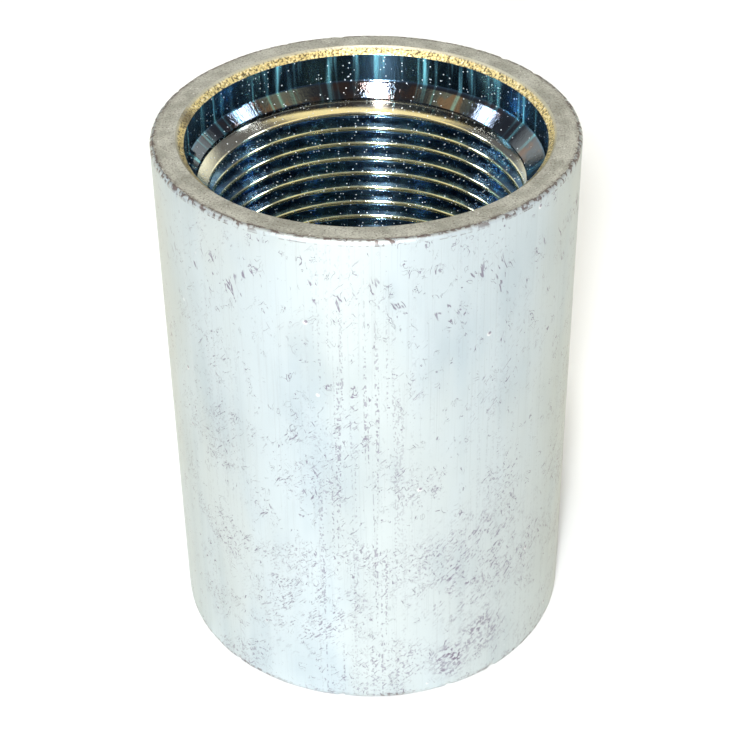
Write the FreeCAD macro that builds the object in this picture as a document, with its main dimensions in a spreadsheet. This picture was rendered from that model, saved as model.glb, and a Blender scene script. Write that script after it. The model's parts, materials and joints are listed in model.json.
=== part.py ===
import FreeCAD, Part

# Recessed steel pipe coupling, nominal pipe size 1-1/4, with a tapered pipe thread in each end.
#
# The coupling is one piece of steel tube, and both its ends are turned alike: a flat end face with
# a rounded outer edge, a short mouth chamfer, a plain recess that slides over the pipe, a reamed
# cone, and a right-hand tapered thread that runs down to a narrow plain land at mid-height.
#
# Frame: millimetres, +Z along the axis, origin at the centre of the lower end face.

import math
import os

import Sketcher

NODE = "coupling_body"

# The driving dimensions: alias, value and meaning of each cell of the sheet.
DIMENSIONS = [
    ("outer_diameter", 52.17, "outside of the tube"),
    ("overall_length", 70.5, "one end face to the other"),
    ("rim_radius", 0.45, "rounding of each end face's outer edge"),
    ("mouth_diameter", 46.0, "inner edge of the end face"),
    ("recess_diameter", 44.1, "plain recess around the pipe's outside"),
    ("recess_depth", 4.6, "end face to the foot of the recess"),
    ("thread_depth", 7.0, "end face to the foot of the reamed cone"),
    ("pitch_diameter", 40.22, "pitch cone of the thread at thread_depth"),
    ("threads_per_inch", 11.5, "turns of the thread in 25.4 mm"),
    ("taper_ratio", 16, "length of thread in which its diameter narrows by one"),
    ("flank_angle", 30, "thread flank to the radial direction, degrees"),
    ("crest_flat", 0.3, "flat crest left by the reamed bore"),
    ("root_flat", 0.12, "flat at the bottom of the groove"),
    ("half_land", 1.56, "mid-height to the middle of each groove's last turn"),
    ("tool_overlap", 0.1, "how far each cut reaches into open space"),
]

# Lengths that several features share, as formulas of the sheet's cells.
OUTER_RADIUS = "sizes.outer_diameter / 2"
MID_HEIGHT = "sizes.overall_length / 2"
RECESS_RADIUS = "sizes.recess_diameter / 2"
CHAMFER = "(sizes.mouth_diameter - sizes.recess_diameter) / 2"
THREAD_PITCH = "(25.4 / sizes.threads_per_inch)"
TAPER_SLOPE = "(1 / (2 * sizes.taper_ratio))"
FLANK_SLOPE = "tan(sizes.flank_angle * 1deg)"
CREST_HEIGHT = f"(({THREAD_PITCH} / 2 - sizes.crest_flat) / 2 / {FLANK_SLOPE})"
ROOT_HEIGHT = f"(({THREAD_PITCH} / 2 - sizes.root_flat) / 2 / {FLANK_SLOPE})"
THREAD_LENGTH = "(sizes.overall_length / 2 - sizes.half_land - sizes.thread_depth)"
CREST_RADIUS = f"(sizes.pitch_diameter / 2 - {CREST_HEIGHT})"
LAND_RADIUS = f"({CREST_RADIUS} - {THREAD_LENGTH} * {TAPER_SLOPE})"


def make_sheet(doc):
    """The spreadsheet of driving dimensions, a row each: value in column A, meaning in B."""
    sheet = doc.addObject("Spreadsheet::Sheet", "sizes")
    for row, (alias, value, meaning) in enumerate(DIMENSIONS, start=1):
        sheet.set(f"A{row}", str(value))
        sheet.setAlias(f"A{row}", alias)
        sheet.set(f"B{row}", meaning)
    doc.recompute()


def origin_plane(body, role):
    """One of the body's own origin planes."""
    return next(plane for plane in body.Origin.OriginFeatures if plane.Role == role)


def new_sketch(body, name, plane):
    sketch = body.newObject("Sketcher::SketchObject", name)
    sketch.AttachmentSupport = (origin_plane(body, plane), [""])
    sketch.MapMode = "FlatFace"
    return sketch


def outline(body, name, plane, corners):
    """A closed sketch on a plane through the axis. Each corner is a radius and a height formula."""
    sketch = new_sketch(body, name, plane)
    places = [[float(sketch.evalExpression(formula)) for formula in corner] for corner in corners]
    for start, end in zip(places, places[1:] + places[:1]):
        sketch.addGeometry(Part.LineSegment(FreeCAD.Vector(*start), FreeCAD.Vector(*end)))
    for line in range(len(corners)):
        following = (line + 1) % len(corners)
        sketch.addConstraint(Sketcher.Constraint("Coincident", line, 2, following, 1))
    for line, (corner, place) in enumerate(zip(corners, places)):
        for direction, formula, value in zip(("DistanceX", "DistanceY"), corner, place):
            if formula == "0":
                sketch.addConstraint(Sketcher.Constraint("PointOnObject", line, 1, -1))
                continue
            sketch.addConstraint(Sketcher.Constraint(direction, -1, 1, line, 1, value))
            label = f"{direction[-1].lower()}_of_corner_{line + 1}"
            sketch.renameConstraint(sketch.ConstraintCount - 1, label)
            sketch.setExpression(f"Constraints.{label}", formula)
    return sketch


def turned(body, kind, name, sketch):
    """A full-turn Revolution or Groove of the sketch about the body's axis."""
    feature = body.newObject(f"PartDesign::{kind}", name)
    feature.Profile = sketch
    feature.ReferenceAxis = (sketch, ["V_Axis"])
    feature.Angle = 360
    body.Document.recompute()
    return feature


def tube_blank(body):
    """The tube before its ends are machined, bored to the size of the middle land."""
    corners = [
        (LAND_RADIUS, "0"),
        (OUTER_RADIUS, "0"),
        (OUTER_RADIUS, "sizes.overall_length"),
        (LAND_RADIUS, "sizes.overall_length"),
    ]
    return turned(body, "Revolution", "tube_blank", outline(body, "tube_section", "XZ_Plane", corners))


def round_rims(body, blank):
    """The rounding of the outer edge of both end faces."""
    outer_radius = float(blank.evalExpression(OUTER_RADIUS))
    rims = [
        f"Edge{number}"
        for number, edge in enumerate(blank.Shape.Edges, start=1)
        if isinstance(edge.Curve, Part.Circle) and math.isclose(edge.Curve.Radius, outer_radius)
    ]
    fillet = body.newObject("PartDesign::Fillet", "rounded_rims")
    fillet.Base = (blank, rims)
    fillet.setExpression("Radius", "sizes.rim_radius")
    body.Document.recompute()


def bored_mouth(body):
    """The upper end's chamfer, recess, reamed cone and tapered bore, cut down to the land."""
    clear_radius = f"{LAND_RADIUS} - sizes.tool_overlap"
    above_face = "sizes.overall_length + sizes.tool_overlap"
    land_top = f"{MID_HEIGHT} + sizes.half_land"
    corners = [
        (clear_radius, above_face),
        ("sizes.mouth_diameter / 2 + sizes.tool_overlap", above_face),
        (RECESS_RADIUS, f"sizes.overall_length - {CHAMFER}"),
        (RECESS_RADIUS, "sizes.overall_length - sizes.recess_depth"),
        (CREST_RADIUS, "sizes.overall_length - sizes.thread_depth"),
        (LAND_RADIUS, land_top),
        (clear_radius, land_top),
    ]
    return turned(body, "Groove", "bored_mouth", outline(body, "mouth_section", "XZ_Plane", corners))


def thread_groove(body):
    """The upper end's thread: a tapered helical groove from the land up into the open recess.

    Its section lies on the YZ plane, away from the seam that the turned faces have on the XZ plane.
    """
    height = f"({MID_HEIGHT} + sizes.half_land)"
    pitch_radius = f"(sizes.pitch_diameter / 2 - {THREAD_LENGTH} * {TAPER_SLOPE})"
    inner_radius = f"{pitch_radius} - {CREST_HEIGHT} - sizes.tool_overlap"
    outer_radius = f"{pitch_radius} + {ROOT_HEIGHT}"
    half_mouth = f"({THREAD_PITCH} / 4 + ({CREST_HEIGHT} + sizes.tool_overlap) * {FLANK_SLOPE})"
    corners = [
        (inner_radius, f"{height} - {half_mouth}"),
        (outer_radius, f"{height} - sizes.root_flat / 2"),
        (outer_radius, f"{height} + sizes.root_flat / 2"),
        (inner_radius, f"{height} + {half_mouth}"),
    ]
    sketch = outline(body, "groove_section", "YZ_Plane", corners)
    groove = body.newObject("PartDesign::SubtractiveHelix", "thread_groove")
    groove.Profile = sketch
    groove.ReferenceAxis = (sketch, ["V_Axis"])
    groove.Mode = "pitch-height-angle"
    groove.setExpression("Pitch", THREAD_PITCH)
    groove.setExpression("Height", f"{MID_HEIGHT} - sizes.half_land - sizes.recess_depth")
    groove.setExpression("Angle", f"atan({TAPER_SLOPE})")
    body.Document.recompute()
    return groove


def second_end(body, cuts):
    """The same cuts in the lower end: the upper end's, turned over about a mid-height axis."""
    axis = new_sketch(body, "mid_height_axis", "XZ_Plane")
    axis.setExpression("AttachmentOffset.Base.y", MID_HEIGHT)
    pattern = body.newObject("PartDesign::PolarPattern", "second_end")
    pattern.Originals = cuts
    pattern.Axis = (axis, ["H_Axis"])
    pattern.Angle = 360
    pattern.Occurrences = 2
    body.Tip = pattern
    body.Document.recompute()


def coupling_body(doc):
    """The whole coupling, made in the order that it is machined."""
    body = doc.addObject("PartDesign::Body", NODE)
    body.Label = NODE
    round_rims(body, tube_blank(body))
    second_end(body, [bored_mouth(body), thread_groove(body)])
    return body


def check(doc, body):
    """Stops if an object failed to compute, a cut took nothing off, or the body isn't one solid."""
    for item in doc.Objects:
        failures = {"Invalid", "Error"} & set(item.State)
        if failures:
            raise RuntimeError(f"{item.Name} failed: {sorted(failures)}")
    features = [item for item in body.Group if item.isDerivedFrom("PartDesign::Feature")]
    volumes = [feature.Shape.Volume for feature in features]
    for feature, volume, before in zip(features[1:], volumes[1:], volumes):
        print(f"{feature.Name} takes off {before - volume:.1f} mm3")
        if volume > 0.9999 * before:
            raise RuntimeError(f"{feature.Name} took nothing off")
    shape = body.Shape
    if shape.isNull() or not shape.isValid() or len(shape.Solids) != 1:
        raise RuntimeError(f"{body.Label} isn't one valid solid")


def build():
    doc = FreeCAD.newDocument("pipe_coupling")
    make_sheet(doc)
    body = coupling_body(doc)
    check(doc, body)
    os.makedirs("parts", exist_ok=True)
    body.Shape.exportStep(f"parts/{body.Label}.step")


build()
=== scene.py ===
import json
import math

import bmesh
import bpy
import numpy as np
from mathutils import Matrix, Vector, noise


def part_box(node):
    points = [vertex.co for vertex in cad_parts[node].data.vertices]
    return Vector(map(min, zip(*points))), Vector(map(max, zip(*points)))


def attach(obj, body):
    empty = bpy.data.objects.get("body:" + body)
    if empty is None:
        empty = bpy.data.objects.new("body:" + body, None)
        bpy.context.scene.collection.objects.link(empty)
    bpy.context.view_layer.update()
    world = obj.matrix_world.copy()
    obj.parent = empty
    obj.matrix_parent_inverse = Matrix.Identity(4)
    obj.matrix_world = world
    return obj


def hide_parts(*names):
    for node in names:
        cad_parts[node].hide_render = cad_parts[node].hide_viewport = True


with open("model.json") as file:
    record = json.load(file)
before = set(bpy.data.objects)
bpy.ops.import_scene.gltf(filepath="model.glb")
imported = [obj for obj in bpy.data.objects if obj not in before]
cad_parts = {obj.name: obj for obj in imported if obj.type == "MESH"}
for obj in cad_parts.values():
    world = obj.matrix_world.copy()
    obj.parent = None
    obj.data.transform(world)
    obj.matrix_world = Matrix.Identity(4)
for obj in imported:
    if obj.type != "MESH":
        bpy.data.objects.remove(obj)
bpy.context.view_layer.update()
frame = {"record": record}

NODE = "coupling_body"
MM = 0.001

# ---------------------------------------------------------------- sizes, in millimetres
# Depths are measured down from an end face. Both ends are alike.
mounts = {mount["name"]: mount for mount in frame["record"]["mounts"]}
low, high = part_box(NODE)
recess = mounts["recess_top"]
LENGTH = (high.z - low.z) / MM
OUTER_RADIUS = mounts["barrel"]["dims"]["r_mm"]
RECESS_RADIUS = recess["dims"]["r_mm"]
RECESS_FOOT = LENGTH - recess["pos_m"][2] / MM + recess["dims"]["length_mm"] / 2
CHAMFER = RECESS_FOOT - recess["dims"]["length_mm"]
MOUTH_RADIUS = RECESS_RADIUS + CHAMFER
MID_DEPTH = LENGTH / 2
RIM_RADIUS = 0.45
FACE_RADIUS = OUTER_RADIUS - RIM_RADIUS

THREAD_PITCH = 25.4 / 11.5
THREAD_START = 7.0
PITCH_RADIUS = 20.11
TAPER = 1 / 32
FLANK_SLOPE = math.tan(math.radians(30))
CREST_FLAT = 0.30
ROOT_FLAT = 0.12
CREST_CORNER = (THREAD_PITCH - CREST_FLAT) / 2
CREST_HEIGHT = (THREAD_PITCH / 2 - CREST_FLAT) / 2 / FLANK_SLOPE
ROOT_HEIGHT = (THREAD_PITCH / 2 - ROOT_FLAT) / 2 / FLANK_SLOPE
GROOVE_END = 1.56
RUN_OUT_TURNS = 1.5
TINY = 1e-6

COLUMNS = 288
RIM_COLUMNS = 2 * COLUMNS
RIM_STEPS = 5
WALL_SHARES = (0.8, 0.6, 0.4, 0.25, 0.15)
NEAR_RIM_DEPTHS = (2.2, 1.4, 0.9, 0.6)
FACE_SHARES = (0.93, 0.5, 0.04, 0.0)
CHAMFER_SHARES = (0.08, 0.5, 0.92, 1.0)

OUTSIDE, FACE, CHAMFER_ZONE, RECESS, THREAD = range(5)


# ---------------------------------------------------------------- mesh
class Shell:
    """Vertices and faces of one half of the coupling, gathered ring by ring."""

    def __init__(self):
        self.points = []
        self.faces = []
        self.zones = []

    def ring(self, radius, depth, columns, worn=None):
        """A level ring of points, numbered clockwise from the back as seen from above."""
        first = len(self.points)
        for column in range(columns):
            turn = 2 * math.pi * column / columns
            r, d = worn(radius, depth, turn) if worn else (radius, depth)
            self.points.append((r * math.sin(turn), r * math.cos(turn), -d))
        return [first + column for column in range(columns)]

    def face(self, corners, zone):
        """A face through the corners, without repeats. Fewer than three corners make none."""
        kept = [c for i, c in enumerate(corners) if c != corners[i - 1]]
        if len(set(kept)) >= 3:
            self.faces.append(kept)
            self.zones.append(zone)

    def strip(self, upper, lower, zone):
        """Faces between two rings. One may have a whole number of times the other's points."""
        count = max(len(upper), len(lower))
        up_step, low_step = len(upper) / count, len(lower) / count
        for k in range(count):
            u0, u1 = (upper[int(i * up_step) % len(upper)] for i in (k, k + 1))
            l0, l1 = (lower[int(i * low_step) % len(lower)] for i in (k, k + 1))
            self.face([u0, l0, l1, u1], zone)

    def turned(self, profile, columns, zone, start, worn=None):
        """Strips down a profile of (radius, depth) points, from a ring that is there already."""
        ring = start
        for radius, depth in profile:
            following = self.ring(radius, depth, columns, worn)
            self.strip(ring, following, zone)
            ring = following
        return ring


def smooth(low_end, high_end, value):
    """Smooth step from 0 to 1 as the value goes from low_end to high_end."""
    share = min(1.0, max(0.0, (value - low_end) / (high_end - low_end)))
    return share * share * (3 - 2 * share)


def rim_wear(end):
    """Handling wear of one outer rim: a soft flattening with scattered small nicks."""

    def worn(radius, depth, turn):
        around = Vector((math.sin(turn), math.cos(turn), end)) * OUTER_RADIUS
        soft = smooth(-0.2, 0.5, noise.noise(around * 0.25))
        nick = smooth(0.34, 0.60, noise.noise(around * 0.8 + Vector((0, 0, 7.0))))
        small = smooth(0.15, 0.5, noise.noise(around * 2.4 + Vector((0, 0, 3.0))))
        near = smooth(1.5, 0.0, depth) * smooth(FACE_RADIUS - 0.3, OUTER_RADIUS, radius)
        bite = near * (0.03 * soft + 0.14 * nick + 0.03 * small)
        return radius - bite, depth + bite

    return worn


def bore_radius(depth):
    """The bored surface before threading: recess, reamed cone, then the tapered bore."""
    crest_start = PITCH_RADIUS - CREST_HEIGHT
    if depth <= RECESS_FOOT:
        return RECESS_RADIUS
    if depth <= THREAD_START:
        share = (depth - RECESS_FOOT) / (THREAD_START - RECESS_FOOT)
        return RECESS_RADIUS + (crest_start - RECESS_RADIUS) * share
    land_start = MID_DEPTH - GROOVE_END
    return crest_start - (min(depth, land_start) - THREAD_START) * TAPER


def groove_radius(depth, offset):
    """The thread groove's surface at an axial offset from its middle, fading out at its end."""
    root = PITCH_RADIUS + ROOT_HEIGHT - (depth - THREAD_START) * TAPER
    flank = max(0.0, abs(offset) - ROOT_FLAT / 2) / FLANK_SLOPE
    run_out = RUN_OUT_TURNS * THREAD_PITCH
    fade_start = MID_DEPTH - GROOVE_END + 0.5 * THREAD_PITCH - run_out
    fade = max(0.0, depth - fade_start) / run_out
    return root - flank - fade * (ROOT_HEIGHT + CREST_HEIGHT)


def helical_bore(shell, start, first_depth, last_depth):
    """The cone, thread and land down to last_depth. Rows follow the thread's helix."""
    half = [ROOT_FLAT / 2 + 0.03, CREST_CORNER - 0.14, CREST_CORNER - 0.02, CREST_CORNER + 0.08]
    offsets = [-x for x in reversed(half)] + half
    groove_end = MID_DEPTH - GROOVE_END
    per_turn = len(offsets)
    first_turn = -math.ceil((groove_end - first_depth) / THREAD_PITCH) - 2
    rows = [(turn, offset) for turn in range(first_turn, 3) for offset in offsets]
    last = shell.ring(bore_radius(last_depth), last_depth, COLUMNS)
    grid = {}
    cut = set(last)

    def place(row, column):
        if column == COLUMNS:
            row, column = row + per_turn, 0
        if row >= len(rows):
            return last[column]
        if (row, column) not in grid:
            turn, offset = rows[row]
            part = column / COLUMNS
            depth = groove_end + THREAD_PITCH * (turn + part) + offset
            if depth <= first_depth:
                grid[row, column] = start[column]
            elif depth >= last_depth:
                grid[row, column] = last[column]
            else:
                groove = groove_radius(depth, offset)
                radius = max(bore_radius(depth), groove)
                angle = 2 * math.pi * part
                grid[row, column] = len(shell.points)
                if depth > THREAD_START or groove > radius - TINY:
                    cut.add(grid[row, column])
                point = (radius * math.sin(angle), radius * math.cos(angle), -depth)
                shell.points.append(point)
        return grid[row, column]

    for row in range(len(rows) - 1):
        for column in range(COLUMNS):
            corners = [place(row, column), place(row + 1, column)]
            corners += [place(row + 1, column + 1), place(row, column + 1)]
            shell.face(corners, THREAD if all(c in cut for c in corners) else RECESS)
    return last


def half_shell(end):
    """One half, from mid-height outside, over the end face, to mid-height inside."""
    shell = Shell()
    worn = rim_wear(end)
    ring = shell.ring(OUTER_RADIUS, MID_DEPTH, COLUMNS)
    wall = [(OUTER_RADIUS, MID_DEPTH * share) for share in WALL_SHARES]
    ring = shell.turned(wall, COLUMNS, OUTSIDE, ring)
    near_rim = [(OUTER_RADIUS, depth) for depth in NEAR_RIM_DEPTHS]
    ring = shell.turned(near_rim, RIM_COLUMNS, OUTSIDE, ring, worn)
    rim = []
    for step in range(RIM_STEPS + 1):
        angle = math.pi / 2 * step / RIM_STEPS
        radius = FACE_RADIUS + RIM_RADIUS * math.cos(angle)
        rim.append((radius, RIM_RADIUS * (1 - math.sin(angle))))
    ring = shell.turned(rim, RIM_COLUMNS, OUTSIDE, ring, worn)
    width = FACE_RADIUS - MOUTH_RADIUS
    face = [(MOUTH_RADIUS + width * share, 0) for share in FACE_SHARES]
    ring = shell.turned(face, RIM_COLUMNS, FACE, ring, worn)
    chamfer = [(MOUTH_RADIUS - CHAMFER * share, CHAMFER * share) for share in CHAMFER_SHARES]
    ring = shell.turned(chamfer, RIM_COLUMNS, CHAMFER_ZONE, ring)
    recess_depths = (CHAMFER + 0.07, RECESS_FOOT - 0.5, RECESS_FOOT - 0.04, RECESS_FOOT)
    recess_wall = [(RECESS_RADIUS, depth) for depth in recess_depths]
    ring = shell.turned(recess_wall, COLUMNS, RECESS, ring)
    helical_bore(shell, ring, RECESS_FOOT, MID_DEPTH)
    return shell


def whole_mesh(upper, lower):
    """Both halves as one closed mesh in metres, the lower half turned over end for end."""
    upper_points = np.array(upper.points) + (0, 0, LENGTH)
    lower_points = np.array(lower.points) * (1, -1, -1)
    points = np.concatenate([upper_points, lower_points]) * MM
    faces = upper.faces + [[c + len(upper_points) for c in face] for face in lower.faces]
    mesh = bpy.data.meshes.new("coupling")
    mesh.from_pydata(points.tolist(), [], faces)
    mesh.polygons.foreach_set("material_index", upper.zones + lower.zones)
    work = bmesh.new()
    work.from_mesh(mesh)
    bmesh.ops.remove_doubles(work, verts=work.verts, dist=1e-6)
    bmesh.ops.recalc_face_normals(work, faces=work.faces)
    open_edges = sum(1 for e in work.edges if not e.is_manifold)
    triangles = sum(len(f.verts) - 2 for f in work.faces)
    print(f"coupling mesh: {len(work.faces)} faces, {triangles} triangles, {open_edges} open edges")
    work.to_mesh(mesh)
    work.free()
    mesh.shade_smooth()
    return mesh


# ---------------------------------------------------------------- materials
class Recipe:
    """A metal's node tree, with one short method for each kind of node it is made from."""

    def __init__(self, name, metallic):
        self.material = bpy.data.materials.new(name)
        self.material.use_nodes = True
        self.tree = self.material.node_tree
        self.shader = self.tree.nodes["Principled BSDF"]
        self.shader.inputs["Metallic"].default_value = metallic
        metres = self.tree.nodes.new("ShaderNodeTexCoord").outputs["Object"]
        self.place = self.scaled(metres, (1 / MM, 1 / MM, 1 / MM))

    def node(self, kind, inputs, **settings):
        """A node with its settings, whose inputs are numbers, colours or other nodes' outputs."""
        made = self.tree.nodes.new(kind)
        for setting, value in settings.items():
            setattr(made, setting, value)
        for socket, value in inputs.items():
            if isinstance(value, bpy.types.NodeSocket):
                self.tree.links.new(value, made.inputs[socket])
            elif value is not None:
                made.inputs[socket].default_value = value
        return made

    def math(self, operation, first, second=0.0, clamp=False):
        inputs = {0: first, 1: second}
        return self.node("ShaderNodeMath", inputs, operation=operation, use_clamp=clamp).outputs[0]

    def scaled(self, vector, scale):
        inputs = {0: vector, 1: scale}
        return self.node("ShaderNodeVectorMath", inputs, operation="MULTIPLY").outputs[0]

    def moved(self, vector, step):
        inputs = {0: vector, 1: step}
        return self.node("ShaderNodeVectorMath", inputs, operation="ADD").outputs[0]

    def gap(self, first, second):
        """How far apart two values are."""
        return self.math("ABSOLUTE", self.math("SUBTRACT", first, second))

    def radius(self):
        flat = self.scaled(self.place, (1, 1, 0))
        return self.node("ShaderNodeVectorMath", {0: flat}, operation="LENGTH").outputs["Value"]

    def height(self):
        return self.node("ShaderNodeSeparateXYZ", {0: self.place}).outputs["Z"]

    def sideways(self):
        """Distance to the left or right of the axis."""
        across = self.node("ShaderNodeSeparateXYZ", {0: self.place}).outputs["X"]
        return self.math("ABSOLUTE", across)

    def end_distance(self):
        """Distance from the nearer end face."""
        height = self.height()
        return self.math("MINIMUM", height, self.math("SUBTRACT", LENGTH, height))

    def twisted(self, lean):
        """The place, turned about the axis as it rises, so marks along Z lean sideways."""
        angle = self.math("MULTIPLY", self.height(), -lean / OUTER_RADIUS)
        inputs = {"Vector": self.place, "Angle": angle}
        turned = self.node("ShaderNodeVectorRotate", inputs, rotation_type="Z_AXIS")
        return turned.outputs[0]

    def noise(self, vector, scale, detail=2.0, distortion=0.0):
        inputs = {"Vector": vector, "Scale": scale, "Detail": detail, "Distortion": distortion}
        return self.node("ShaderNodeTexNoise", inputs).outputs[0]

    def step(self, value, start, end, low_value=0.0, high_value=1.0):
        """Smooth change from low_value to high_value as the value goes from start to end."""
        inputs = {0: value, 1: start, 2: end, 3: low_value, 4: high_value}
        return self.node("ShaderNodeMapRange", inputs, interpolation_type="SMOOTHSTEP").outputs[0]

    def near(self, spot, reach, core):
        """1 within core of a spot, falling to 0 at reach."""
        inputs = {0: self.place, 1: spot}
        off = self.node("ShaderNodeVectorMath", inputs, operation="DISTANCE").outputs["Value"]
        return self.step(off, reach, core)

    def times(self, *masks):
        product = masks[0]
        for mask in masks[1:]:
            product = self.math("MULTIPLY", product, mask)
        return product

    def most(self, *masks):
        largest = masks[0]
        for mask in masks[1:]:
            largest = self.math("MAXIMUM", largest, mask)
        return largest

    def mix(self, share, first, second):
        colours = [c if isinstance(c, bpy.types.NodeSocket) else (*c, 1.0) for c in (first, second)]
        inputs = {0: share, 6: colours[0], 7: colours[1]}
        return self.node("ShaderNodeMix", inputs, data_type="RGBA").outputs[2]

    def dots(self, vector, scale, size, share, seed=0.0):
        """Round dots in a share of the cells, of a size given against the cell's."""
        inputs = {"Vector": self.moved(vector, (seed, seed, seed)), "Scale": scale}
        cells = self.node("ShaderNodeTexVoronoi", inputs)
        chosen = self.math("LESS_THAN", cells.outputs["Color"], share)
        return self.times(self.step(cells.outputs["Distance"], size, size * 0.4), chosen)

    def rings(self, vector, scale, width, distortion, patches):
        """Thin curved lines along a noise's contours, kept only in the patches."""
        field = self.noise(vector, scale, 1.0, distortion)
        return self.times(self.step(self.gap(field, 0.5), width, width * 0.3), patches)

    def turned(self, amount):
        """Fine turning marks around the axis, which draw reflections out along it."""
        tangent = self.node("ShaderNodeTangent", {}, direction_type="RADIAL", axis="Z")
        self.tree.links.new(tangent.outputs[0], self.shader.inputs["Tangent"])
        self.shader.inputs["Anisotropic"].default_value = amount
        self.shader.inputs["Anisotropic Rotation"].default_value = 0.25

    def finish(self, colour, roughness, height, relief, dull=None):
        """Joins colour, roughness and a relief height in millimetres to the shader."""
        if dull is not None:
            bare = self.math("SUBTRACT", self.shader.inputs["Metallic"].default_value, dull, True)
            self.tree.links.new(bare, self.shader.inputs["Metallic"])
        bump = self.node("ShaderNodeBump", {"Height": height, "Distance": relief * MM})
        self.tree.links.new(colour, self.shader.inputs["Base Color"])
        self.tree.links.new(roughness, self.shader.inputs["Roughness"])
        self.tree.links.new(bump.outputs[0], self.shader.inputs["Normal"])
        return self.material


PALE_ZINC = (0.46, 0.525, 0.555)
BLUE_ZINC = (0.40, 0.47, 0.51)
STRAW_ZINC = (0.455, 0.44, 0.35)
MARK = (0.14, 0.105, 0.17)
# Colour of the dark rim line, partly edge stain and partly painted shade.
EDGE_STAIN_AND_SHADE = (0.09, 0.05, 0.045)
WARM_EDGE = (1.0, 0.88, 0.62)
DRAW_LINE = (0.33, 0.35, 0.37)
PIT_EDGE = (0.80, 0.80, 0.80)
FACE_DARK = (0.37, 0.37, 0.32)
FACE_LIGHT = (0.64, 0.645, 0.58)
FACE_SPECK = (0.16, 0.13, 0.11)
FACE_GLINT = (0.95, 0.95, 0.95)
CHROMATE_BROWN = (0.12, 0.09, 0.05)
CHROMATE_GOLD = (0.72, 0.59, 0.27)
CHROMATE_PALE = (0.92, 0.88, 0.72)
CHROMATE_STAIN = (0.10, 0.08, 0.055)
BARE_LIP = (0.46, 0.45, 0.39)
RECESS_BLUE = (0.08, 0.16, 0.25)
CONE_GREY = (0.085, 0.09, 0.11)
CONE_STAIN = (0.16, 0.10, 0.075)
# Pale cyan of the recess streaks, partly plating and partly a painted reflection.
RECESS_STREAK_AND_REFLECTION = (0.26, 0.80, 0.98)
RECESS_SPECK = (0.80, 0.90, 0.98)
GROOVE_DARK = (0.14, 0.26, 0.43)
GROOVE_LIGHT = (0.30, 0.52, 0.72)
# Warm straw highlight painted on the thread crests.
CREST_PAINTED_HIGHLIGHT = (1.0, 0.92, 0.52)
ENTRY_STRAW = (0.74, 0.70, 0.56)
THREAD_SPECK = (0.92, 0.97, 1.0)

# Places of marks on the wall, in millimetres
MIDDLE_ROWS = -2.0
BELT_HEIGHT = 62.3
BRUISE = (10.2, -24.0, 4.8)
BRUISE_TOP = (14.2, -21.9, 8.0)
SCRAPE = (13.0, -22.6, 20.0)
SCALES = (-9.0, -24.5, 15.0)


def crowding(metal):
    """Where scuffs crowd together: in clouds, and more of them lower down."""
    lower_part = metal.step(metal.height(), 58.0, 30.0, 0.45, 1.0)
    clouds = metal.step(metal.noise(metal.place, 0.14, 3.0), 0.42, 0.62)
    return metal.times(clouds, lower_part)


def dotted_rows(metal, along):
    """Rows of small dots up the wall, mostly in its middle."""
    row = metal.step(metal.noise(metal.moved(along, (9, 4, 2)), 2.4, 0.0), 0.58, 0.66)
    across = metal.node("ShaderNodeSeparateXYZ", {0: metal.place}).outputs["X"]
    middle = metal.step(metal.gap(across, MIDDLE_ROWS), 7.0, 3.0, 0.25, 1.0)
    stretches = metal.step(metal.noise(along, 0.16, 0.0), 0.40, 0.5, 0.3, 1.0)
    dots = metal.step(metal.noise(metal.scaled(metal.place, (1, 1, 0.7)), 4.2, 0.0), 0.54, 0.62)
    height = metal.step(metal.height(), 66.0, 46.0, 0.20, 0.70)
    return metal.times(row, middle, stretches, dots, height)


def scattered_marks(metal, along, leaning, steep):
    """Specks, scuffs, curls and smudges all over the wall, from noise."""
    place = metal.place
    crowd = crowding(metal)
    fine = metal.dots(place, 2.6, 0.24, 0.16, 1.0)
    coarse = metal.times(metal.dots(place, 1.3, 0.17, 0.30, 11.0), metal.step(crowd, 0.1, 0.5))
    scuffs = metal.step(metal.noise(leaning, 2.6, 3.0, 1.1), 0.62, 0.69)
    scores = metal.step(metal.noise(metal.moved(steep, (5, 1, 9)), 3.4, 2.0, 0.7), 0.66, 0.72)
    scuffs = metal.times(metal.most(scuffs, scores), metal.step(crowd, 0.2, 0.7))
    patches = metal.step(metal.noise(metal.moved(place, (3, 8, 5)), 0.6, 2.0), 0.57, 0.62)
    curls = metal.rings(metal.scaled(place, (1, 1, 0.7)), 0.8, 0.018, 1.8, patches)
    smudges = metal.step(metal.noise(place, 2.4, 3.0, 0.6), 0.56, 0.66)
    smudges = metal.times(smudges, metal.step(crowd, 0.5, 1.0), 0.7)
    rows = dotted_rows(metal, along)
    fine = metal.times(fine, 0.45)
    return metal.most(rows, fine, metal.times(coarse, 0.8), scuffs, curls, smudges)


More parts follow.
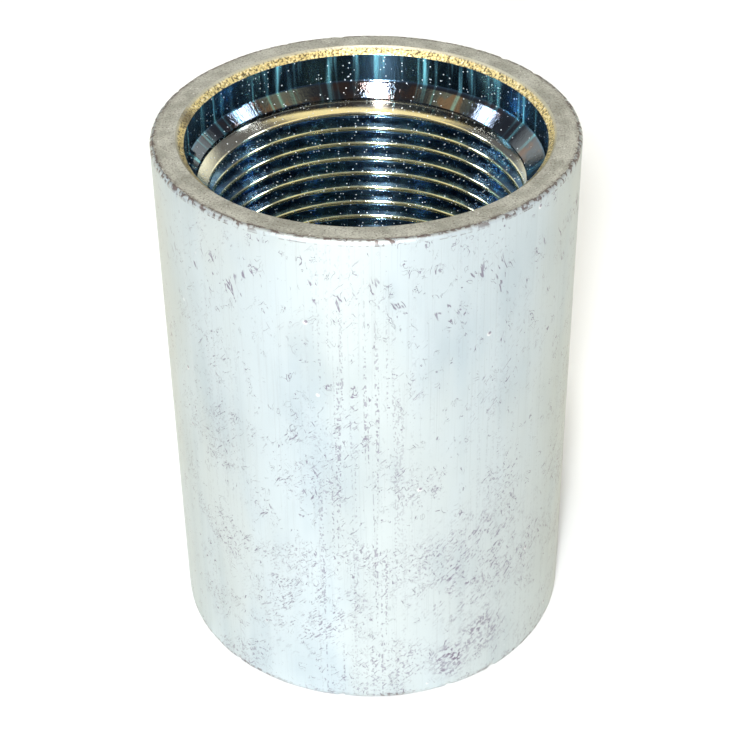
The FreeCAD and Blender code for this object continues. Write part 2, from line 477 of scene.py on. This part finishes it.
def placed_marks(metal, leaning, steep):
    """Marks with a place of their own: the foot's bruise, and then scrape, scales and belt."""
    place = metal.place
    ragged = metal.step(metal.noise(metal.moved(place, (2, 6, 1)), 0.55, 3.0), 0.42, 0.58)
    gaps = metal.step(metal.noise(metal.moved(place, (1, 9, 4)), 2.4, 2.0), 0.42, 0.52)
    nicks = metal.times(metal.step(metal.noise(leaning, 3.2, 4.0, 0.8), 0.51, 0.58), gaps)
    texture = metal.noise(metal.scaled(leaning, (1, 1, 1.6)), 1.8, 4.0, 0.6)
    hit = metal.near(BRUISE, 4.2, 1.0)
    hit = metal.most(hit, metal.times(metal.near(BRUISE_TOP, 5.5, 1.0), 0.7))
    edges = metal.step(ragged, 0.0, 1.0, 0.45, 1.0)
    bruise = metal.times(hit, metal.step(texture, 0.44, 0.52), gaps, edges)
    scrape = metal.times(metal.near(SCRAPE, 13.0, 4.0), nicks, ragged)
    scales = metal.times(metal.near(SCALES, 11.0, 4.0), nicks, ragged, 0.9)
    belt = metal.step(metal.gap(metal.height(), BELT_HEIGHT), 4.0, 2.0)
    strokes = metal.step(metal.noise(metal.moved(steep, (4, 4, 1)), 1.5, 2.0, 0.9), 0.60, 0.64)
    clumps = metal.step(metal.noise(metal.moved(place, (7, 1, 3)), 0.32, 2.0), 0.51, 0.58)
    strokes = metal.times(strokes, belt, clumps)
    return bruise, metal.most(scrape, scales, strokes)


def rim_stain_and_shade(metal):
    """Dark line round the outer rim, partly edge stain and partly painted shade: the lip, the crease
    below it, and wider stretches, heavier towards the left and right sides.
    """
    place = metal.place
    edge = metal.end_distance()
    stretches = metal.step(metal.noise(metal.scaled(place, (1, 1, 0)), 0.075, 1.0), 0.46, 0.58)
    broken = metal.step(metal.noise(metal.scaled(place, (1, 1, 0.5)), 1.7, 3.0), 0.46, 0.58)
    # Painted shade in part: dark lines at the lip and in the crease below the rim's rounding.
    lip = metal.times(metal.step(edge, 0.22, 0.02), metal.step(broken, 0.0, 1.0, 0.35, 1.0))
    crease_shade = metal.step(metal.gap(edge, 0.62), 0.10, 0.02)
    crease_shade = metal.times(crease_shade, broken, metal.step(stretches, 0.0, 1.0, 0.5, 1.0))
    # Painted shade: the rim line grows heavier towards the left and right sides.
    stretches = metal.most(stretches, metal.step(metal.sideways(), 9.0, 15.0))
    stained_and_shaded = metal.times(metal.step(edge, 0.75, 0.2), broken, stretches)
    return metal.most(stained_and_shaded, crease_shade, lip)


def zinc_outside():
    """Plated drawn tube: cloudy pale zinc, draw lines, specks, scuffs, scratches and pits."""
    metal = Recipe("zinc_outside", 0.65)
    metal.shader.inputs["Specular Tint"].default_value = (*WARM_EDGE, 1)
    place = metal.place
    along = metal.scaled(place, (1, 1, 0.015))
    leaning = metal.scaled(metal.twisted(0.9), (1, 1, 0.40))
    steep = metal.scaled(metal.twisted(-0.35), (1, 1, 0.30))
    clouds = metal.noise(metal.scaled(place, (1, 1, 0.6)), 0.10, 4.0)
    bands = metal.noise(along, 0.5, 2.0)
    tone = metal.step(metal.math("ADD", clouds, metal.times(bands, 0.35)), 0.44, 0.78)
    blotches = metal.noise(metal.scaled(metal.moved(place, (5, 3, 9)), (1, 1, 0.35)), 0.06, 3.0)
    straw = metal.step(blotches, 0.44, 0.60)
    draw_lines = metal.step(metal.noise(along, 5.0, 1.0), 0.58, 0.70)
    pits = metal.dots(place, 0.36, 0.11, 0.22, 17.0)
    halo = metal.dots(metal.moved(place, (0.10, 0.05, 0.12)), 0.36, 0.14, 0.22, 17.0)
    bruise, placed = placed_marks(metal, leaning, steep)
    scattered = scattered_marks(metal, along, leaning, steep)
    marks = metal.most(scattered, pits, bruise, placed)

    colour = metal.mix(tone, BLUE_ZINC, PALE_ZINC)
    colour = metal.mix(metal.times(straw, 0.16), colour, STRAW_ZINC)
    colour = metal.mix(metal.times(draw_lines, 0.16), colour, DRAW_LINE)
    colour = metal.mix(metal.times(halo, 0.7), colour, PIT_EDGE)
    colour = metal.mix(metal.times(marks, 0.75), colour, MARK)
    colour = metal.mix(metal.times(bruise, 0.6), colour, MARK)
    # Dark rim line, partly edge stain and partly painted shade.
    colour = metal.mix(metal.times(rim_stain_and_shade(metal), 0.85), colour, EDGE_STAIN_AND_SHADE)
    roughness = metal.step(clouds, 0.3, 0.7, 0.40, 0.52)
    dents = metal.math("ADD", metal.times(draw_lines, 0.15), marks)
    relief = metal.math("SUBTRACT", metal.times(clouds, 0.8), dents)
    return metal.finish(colour, roughness, relief, 0.03)


def turned_face():
    """Sawn and faced end: dull warm grey, fine brown specks and faint rings."""
    metal = Recipe("turned_face", 0.6)
    place = metal.place
    rings = metal.noise(metal.node("ShaderNodeCombineXYZ", {0: metal.radius()}).outputs[0], 3.5, 3.0)
    grain = metal.noise(place, 5.0, 4.0)
    specks = metal.step(metal.noise(place, 4.2, 3.0), 0.52, 0.66)
    glints = metal.dots(place, 2.2, 0.22, 0.22, 4.0)
    clouds = metal.noise(place, 0.35, 3.0)
    outer = metal.step(metal.radius(), FACE_RADIUS - 0.4, FACE_RADIUS)
    broken = metal.step(metal.noise(place, 1.4, 3.0), 0.42, 0.54)
    tone = metal.math("ADD", metal.times(rings, 0.30), metal.times(clouds, 0.40))
    tone = metal.math("ADD", tone, metal.times(grain, 0.30))
    colour = metal.mix(metal.step(tone, 0.40, 0.60), FACE_DARK, FACE_LIGHT)
    colour = metal.mix(metal.times(specks, 0.6), colour, FACE_SPECK)
    # Dark line at the face's outer edge, partly edge stain and partly painted shade.
    colour = metal.mix(metal.times(outer, broken, 0.8), colour, EDGE_STAIN_AND_SHADE)
    colour = metal.mix(glints, colour, FACE_GLINT)
    roughness = metal.step(grain, 0.3, 0.7, 0.42, 0.6)
    relief = metal.math("ADD", metal.times(rings, 0.5), grain)
    return metal.finish(colour, roughness, relief, 0.02)


def gold_chamfer():
    """Narrow chamfer of the mouth: coarse yellow and brown grains, with brown stains."""
    metal = Recipe("gold_chamfer", 0.85)
    grains = metal.noise(metal.place, 3.2, 4.0)
    colour = metal.mix(metal.step(grains, 0.38, 0.52), CHROMATE_BROWN, CHROMATE_GOLD)
    colour = metal.mix(metal.step(grains, 0.56, 0.70), colour, CHROMATE_PALE)
    stained = metal.noise(metal.scaled(metal.place, (1, 1, 0)), 0.09, 1.0)
    stained = metal.step(stained, 0.50, 0.62)
    colour = metal.mix(metal.times(stained, 0.8), colour, CHROMATE_STAIN)
    lip = metal.step(metal.end_distance(), 0.42, 0.12)
    lip = metal.times(lip, metal.step(stained, 0.0, 1.0, 0.9, 0.35))
    colour = metal.mix(lip, colour, BARE_LIP)
    roughness = metal.step(grains, 0.3, 0.7, 0.36, 0.50)
    return metal.finish(colour, roughness, grains, 0.08)


def bright_recess():
    """Bored recess and reamed cone: glossy blue plating with ripples, specks and streaks that are
    partly plating runs and partly painted pale cyan reflections.
    """
    metal = Recipe("bright_recess", 1.0)
    metal.turned(0.85)
    place = metal.place
    flat = metal.scaled(place, (1, 1, 0))
    outward = metal.node("ShaderNodeVectorMath", {0: flat}, operation="NORMALIZE").outputs[0]
    around = metal.scaled(outward, (RECESS_RADIUS, RECESS_RADIUS, 0))
    streaks = metal.noise(metal.moved(around, metal.scaled(place, (0.0, 0.0, 0.07))), 0.9, 3.0)
    ripples = metal.noise(metal.scaled(place, (1, 1, 0.3)), 2.3, 0.0, 1.6)
    grain = metal.noise(place, 5.5, 2.0)
    specks = metal.dots(place, 2.6, 0.26, 0.26, 2.0)
    specks = metal.most(specks, metal.dots(place, 1.4, 0.17, 0.30, 6.0))
    cone = metal.step(metal.end_distance(), RECESS_FOOT - 0.1, RECESS_FOOT + 0.3)
    stain = metal.times(cone, metal.step(metal.noise(place, 0.3, 2.0), 0.52, 0.62))
    wall = metal.step(cone, 1.0, 0.0, 0.45, 1.0)
    # Pale cyan streaks, partly plating runs and partly painted reflection, made less metallic further
    # down.
    streak_and_reflection = metal.times(metal.step(streaks, 0.50, 0.76), wall)
    colour = metal.mix(metal.times(cone, 0.85), RECESS_BLUE, CONE_GREY)
    colour = metal.mix(metal.times(stain, 0.6), colour, CONE_STAIN)
    colour = metal.mix(streak_and_reflection, colour, RECESS_STREAK_AND_REFLECTION)
    colour = metal.mix(specks, colour, RECESS_SPECK)
    smoother_cone = metal.step(cone, 0.0, 1.0, 1.0, 0.5)
    roughness = metal.times(metal.step(streaks, 0.3, 0.7, 0.19, 0.23), smoother_cone)
    roughness = metal.math("ADD", roughness, metal.times(specks, 0.4))
    relief = metal.math("ADD", metal.times(ripples, 0.7), metal.times(streaks, 1.6))
    relief = metal.math("ADD", relief, metal.math("ADD", metal.times(grain, 0.35), specks))
    dull = metal.most(metal.times(specks, 0.95), metal.times(streak_and_reflection, 0.45))
    return metal.finish(colour, roughness, relief, 0.012, dull)


def bright_thread():
    """Cut thread: blue plating in the grooves, a warm straw highlight painted along the crests and a
    pale first turn.
    """
    metal = Recipe("bright_thread", 1.0)
    metal.turned(0.8)
    place = metal.place
    depth = metal.end_distance()
    pitch_line = metal.math("SUBTRACT", PITCH_RADIUS + TAPER * THREAD_START, metal.times(depth, TAPER))
    outward = metal.math("SUBTRACT", metal.radius(), pitch_line)
    # Painted highlight: warm straw colour along the crests, where the thread catches the light.
    crest_highlight = metal.step(outward, -CREST_HEIGHT + 0.30, -CREST_HEIGHT)
    entry = metal.step(depth, THREAD_START + 2.2, THREAD_START + 1.0)
    streaks = metal.noise(metal.scaled(place, (1, 1, 3.0)), 0.7, 3.0)
    specks = metal.dots(place, 2.2, 0.25, 0.45, 2.0)
    chatter = metal.noise(place, 2.4, 2.0)
    colour = metal.mix(metal.step(streaks, 0.35, 0.7), GROOVE_DARK, GROOVE_LIGHT)
    colour = metal.mix(metal.times(crest_highlight, 0.9), colour, CREST_PAINTED_HIGHLIGHT)
    colour = metal.mix(metal.times(entry, 0.85), colour, ENTRY_STRAW)
    colour = metal.mix(specks, colour, THREAD_SPECK)
    roughness = metal.step(streaks, 0.3, 0.7, 0.13, 0.18)
    roughness = metal.math("ADD", roughness, metal.times(specks, 0.3))
    relief = metal.math("ADD", metal.times(chatter, 0.5), specks)
    return metal.finish(colour, roughness, relief, 0.012, metal.times(specks, 0.8))


coupling = bpy.data.objects.new("coupling", whole_mesh(half_shell(0), half_shell(1)))
bpy.context.scene.collection.objects.link(coupling)
for material in (zinc_outside(), turned_face(), gold_chamfer(), bright_recess(), bright_thread()):
    coupling.data.materials.append(material)
weighted = coupling.modifiers.new("flat_flanks", "WEIGHTED_NORMAL")
weighted.weight = 100
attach(coupling, "root")
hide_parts(NODE)

# ---------------------------------------------------------------- stage, light and camera
FLOOR_HALF = 2.0
FLOOR_COLOUR = (0.76, 0.775, 0.79)
SENSOR_WIDTH = 36
floor_corners = [(-1, -1), (1, -1), (1, 1), (-1, 1)]
floor_mesh = bpy.data.meshes.new("floor")
floor_points = [(x * FLOOR_HALF, y * FLOOR_HALF, 0) for x, y in floor_corners]
floor_mesh.from_pydata(floor_points, [], [(0, 1, 2, 3)])
floor = bpy.data.objects.new("floor", floor_mesh)
bpy.context.scene.collection.objects.link(floor)
floor_material = bpy.data.materials.new("pale_floor")
floor_material.use_nodes = True
floor_shader = floor_material.node_tree.nodes["Principled BSDF"]
floor_shader.inputs["Base Color"].default_value = (*FLOOR_COLOUR, 1)
floor_shader.inputs["Roughness"].default_value = 0.9
floor_shader.inputs["Specular IOR Level"].default_value = 0.1
floor_mesh.materials.append(floor_material)


STRIP_COLOUR = (1.55, 1.32, 0.74)
CONE_LAMPS = (18.0, 19.0, 20.0)
REAR_LAMPS = (1.5, 1.45, 1.15)


def studio_world():
    """Soft surroundings: palest at the horizon, with a warm strip overhead and side lamps."""
    world = bpy.data.worlds.new("studio")
    world.use_nodes = True
    nodes, links = world.node_tree.nodes, world.node_tree.links

    def node(kind, inputs, **settings):
        made = nodes.new(kind)
        for setting, value in settings.items():
            setattr(made, setting, value)
        for socket, value in inputs.items():
            if isinstance(value, bpy.types.NodeSocket):
                links.new(value, made.inputs[socket])
            else:
                made.inputs[socket].default_value = value
        return made

    def pair_of_lamps(sky, azimuth, elevation, inner, outer, colour):
        """Adds a soft round lamp on each side, azimuth degrees away from the front."""
        side, rise = math.radians(azimuth), math.radians(elevation)
        flat = math.cos(rise)
        toward = (math.sin(side) * flat, -math.cos(side) * flat, math.sin(rise))
        facing = node("ShaderNodeVectorMath", {0: mirrored, 1: toward}, operation="DOT_PRODUCT")
        edge, full = math.cos(math.radians(outer)), math.cos(math.radians(inner))
        share = node("ShaderNodeMapRange", {0: facing.outputs["Value"], 1: edge, 2: full})
        inputs = {0: share.outputs[0], 6: sky, 7: (*colour, 1)}
        return node("ShaderNodeMix", inputs, data_type="RGBA", blend_type="ADD").outputs[2]

    direction = nodes.new("ShaderNodeTexCoord").outputs["Generated"]
    parts = node("ShaderNodeSeparateXYZ", {0: direction}).outputs
    sideways = node("ShaderNodeMath", {0: parts["X"]}, operation="ABSOLUTE").outputs[0]
    mirrored = node("ShaderNodeCombineXYZ", {0: sideways, 1: parts["Y"], 2: parts["Z"]}).outputs[0]
    ramp = node("ShaderNodeValToRGB", {0: parts["Z"]})
    stops = [
        (0.00, (0.38, 0.40, 0.42)),
        (0.25, (0.32, 0.33, 0.34)),
        (0.50, (0.20, 0.20, 0.21)),
        (0.95, (0.16, 0.15, 0.15)),
    ]
    colours = ramp.color_ramp.elements
    while len(colours) < len(stops):
        colours.new(1.0)
    for element, (position, colour) in zip(colours, stops):
        element.position = position
        element.color = (*colour, 1)
    fore_and_aft = node("ShaderNodeMath", {0: parts["Y"]}, operation="ABSOLUTE").outputs[0]
    near_middle = node("ShaderNodeMapRange", {0: fore_and_aft, 1: 0.24, 2: 0.16}).outputs[0]
    overhead = node("ShaderNodeMapRange", {0: parts["Z"], 1: 0.74, 2: 0.80}).outputs[0]
    strip = node("ShaderNodeMath", {0: near_middle, 1: overhead}, operation="MULTIPLY").outputs[0]
    inputs = {0: strip, 6: ramp.outputs[0], 7: (*STRIP_COLOUR, 1)}
    ceiling = node("ShaderNodeMix", inputs, data_type="RGBA").outputs[2]
    sky = pair_of_lamps(ceiling, 103, 42, 3, 6, CONE_LAMPS)
    sky = pair_of_lamps(sky, 140, 14, 8, 20, REAR_LAMPS)
    links.new(sky, nodes["Background"].inputs["Color"])
    return world


def soft_sun(name, azimuth, elevation, spread, strength, colour):
    """A soft light from far away. Azimuth 0 is the front, and grows towards the right."""
    data = bpy.data.lights.new(name, "SUN")
    data.angle = math.radians(spread)
    data.energy = strength
    data.color = colour
    light = bpy.data.objects.new(name, data)
    side, rise = math.radians(azimuth), math.radians(elevation)
    flat = math.cos(rise)
    toward = Vector((math.sin(side) * flat, -math.cos(side) * flat, math.sin(rise)))
    light.rotation_euler = toward.to_track_quat("Z", "Y").to_euler()
    bpy.context.scene.collection.objects.link(light)


WHITE = (1.0, 1.0, 1.0)
bpy.context.scene.world = studio_world()
soft_sun("key", -13, 67, 9, 1.1, WHITE)
soft_sun("fill", -9, 32, 7, 2.8, WHITE)
soft_sun("low", -12, 8, 10, 3.0, WHITE)

# The camera looks down at the top face's centre from the front.
CAMERA_PITCH = math.radians(35.87)
CAMERA_ROLL = math.radians(-0.74)
CAMERA_DISTANCE = 8.3547 * OUTER_RADIUS * MM
CAMERA_LEFT = 0.0415 * OUTER_RADIUS * MM
CAMERA_BELOW = 1.1438 * OUTER_RADIUS * MM
CAMERA_LENS = 86.6
forward = Vector((0, math.cos(CAMERA_PITCH), -math.sin(CAMERA_PITCH)))
level_up = Vector((0, math.sin(CAMERA_PITCH), math.cos(CAMERA_PITCH)))
level_right = Vector((1, 0, 0))
right = math.cos(CAMERA_ROLL) * level_right + math.sin(CAMERA_ROLL) * level_up
up = math.cos(CAMERA_ROLL) * level_up - math.sin(CAMERA_ROLL) * level_right
top_centre = Vector((0, 0, high.z))
camera_data = bpy.data.cameras.new("camera")
camera_data.sensor_width = SENSOR_WIDTH
camera_data.lens = CAMERA_LENS
camera = bpy.data.objects.new("camera", camera_data)
facing = Matrix((right, up, -forward)).transposed().to_4x4()
place = top_centre - forward * CAMERA_DISTANCE + right * CAMERA_LEFT - up * CAMERA_BELOW
camera.matrix_world = Matrix.Translation(place) @ facing
bpy.context.scene.collection.objects.link(camera)
bpy.context.scene.camera = camera
bpy.context.scene.view_settings.view_transform = "Standard"
